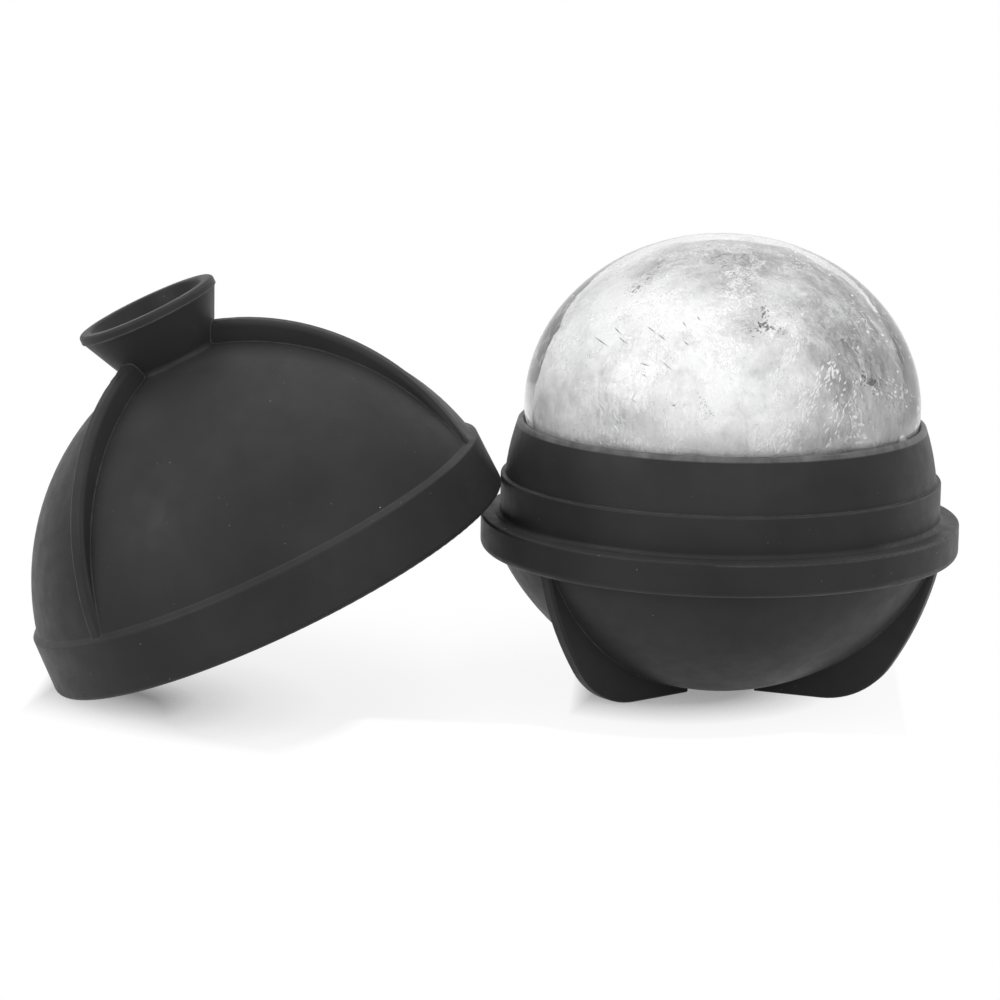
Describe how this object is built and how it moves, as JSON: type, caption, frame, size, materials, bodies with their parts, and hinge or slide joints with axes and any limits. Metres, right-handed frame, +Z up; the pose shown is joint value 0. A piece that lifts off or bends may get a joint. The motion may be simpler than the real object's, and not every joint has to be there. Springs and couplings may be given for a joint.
{
  "type": "ice ball mold",
  "caption": "Black silicone ice ball mold: finned cup with a two-step collar, ribbed lid with a filling funnel leaning on it, and a ball of ice in the cup's rim.",
  "frame": {"origin": "on the cup's axis, at the floor that its three feet stand on", "axes": "+Z up along the cup's axis, -X towards the lid that leans on the cup, -Y towards the viewer of the picture"},
  "size_m": [0.1475, 0.0858, 0.0733],
  "materials": {
    "silicone": "matt black silicone, moulded",
    "ice": "ice, clear at the edge with a cloudy white core and fine cracks"
  },
  "bodies": {
    "root": {"mold_cup": "silicone", "mold_lid": "silicone", "ice_ball": "ice"}
  },
  "joints": []
}
